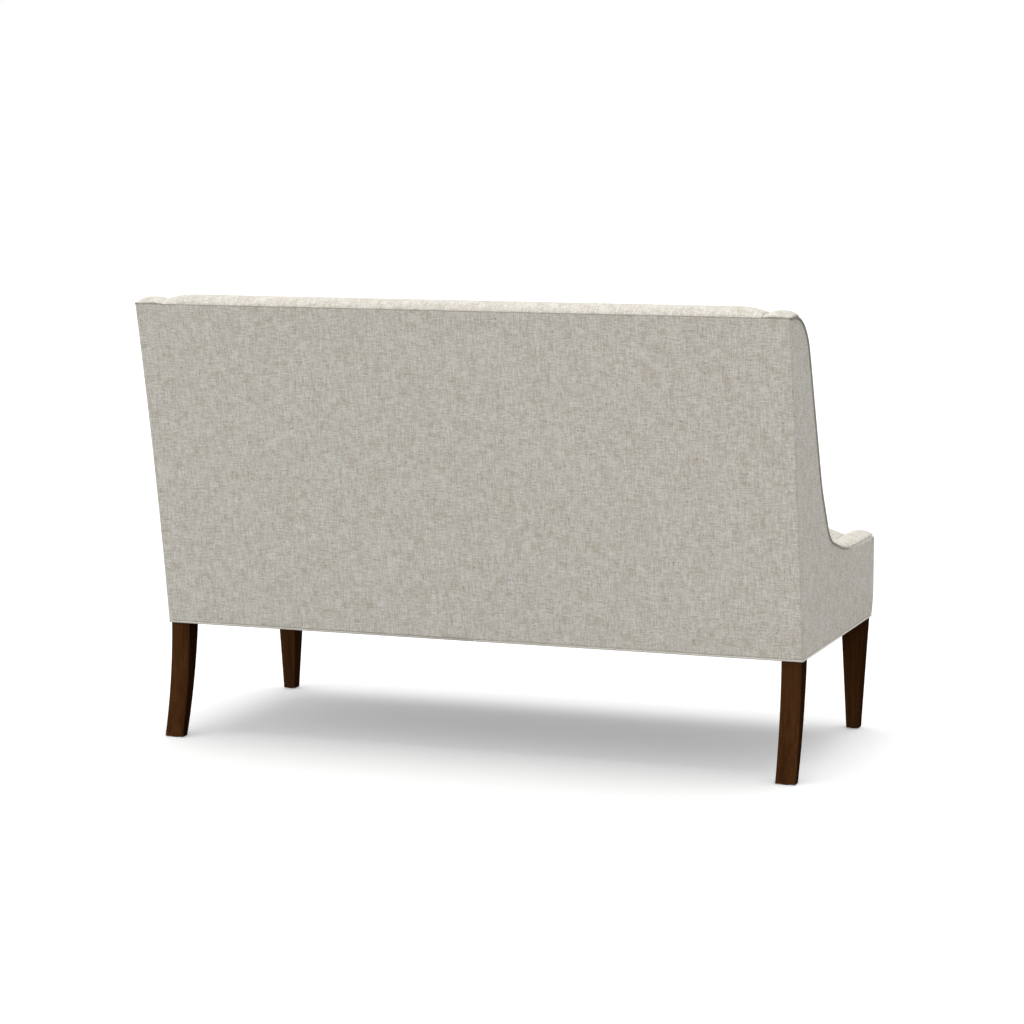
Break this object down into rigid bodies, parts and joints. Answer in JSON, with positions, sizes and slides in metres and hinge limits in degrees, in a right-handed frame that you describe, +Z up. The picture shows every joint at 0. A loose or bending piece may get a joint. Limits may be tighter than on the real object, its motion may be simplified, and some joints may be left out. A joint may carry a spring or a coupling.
{
  "type": "dining banquette",
  "caption": "Upholstered dining banquette with a tall raked back, wings that swoop down to low padded arms, a tight seat, piped edges, sabre rear legs and tapered front legs",
  "frame": {"origin": "on the floor under the middle of the banquette's bounding box", "axes": "X across the seat, Y from the front (-Y) to the back (+Y), Z up"},
  "size_m": [1.5296, 0.8, 1.0359],
  "materials": {
    "dark_wood": "dark walnut stain under satin lacquer",
    "frame_wood": "bare planed hardwood",
    "plywood": "bare birch plywood",
    "linen": "oatmeal linen-look weave with slubs both ways",
    "piping": "piping covered in the same linen",
    "foam": "upholstery foam",
    "webbing": "woven elastic webbing",
    "deck_cloth": "woven deck cloth",
    "dust_cloth": "black non-woven cloth",
    "card": "plain card strip",
    "steel": "zinc plated",
    "nylon": "moulded nylon glide"
  },
  "bodies": {
    "root": {"rear_post_left": "dark_wood", "rear_post_right": "dark_wood", "front_leg_left": "dark_wood", "front_leg_right": "dark_wood", "front_rail": "frame_wood", "rear_rail": "frame_wood", "side_rail_left": "frame_wood", "side_rail_right": "frame_wood", "seat_cross_rail_left": "frame_wood", "seat_cross_rail_right": "frame_wood", "back_top_rail": "frame_wood", "back_middle_rail": "frame_wood", "back_lower_rail": "frame_wood", "back_stile_left": "frame_wood", "back_stile_right": "frame_wood", "corner_blocks": "frame_wood", "wing_panel_left": "plywood", "wing_panel_right": "plywood", "seat_pad": "linen", "back_pad": "linen", "wing_roll_left": "linen", "wing_roll_right": "linen", "inside_wing_pad_left": "linen", "inside_wing_pad_right": "linen", "outside_back_panel": "linen", "outside_arm_panel_left": "linen", "outside_arm_panel_right": "linen", "front_border": "linen", "bottom_welt": "piping", "arm_welt_left": "piping", "arm_welt_right": "piping", "seat_welt": "piping", "seat_foam": "foam", "seat_webbing": "webbing", "back_webbing": "webbing", "seat_deck_cloth": "deck_cloth", "back_deck_cloth": "deck_cloth", "dust_cover": "dust_cloth", "back_tack_strip": "card", "wing_panel_screws": "steel", "corner_block_screws": "steel", "glides": "nylon"}
  },
  "joints": []
}
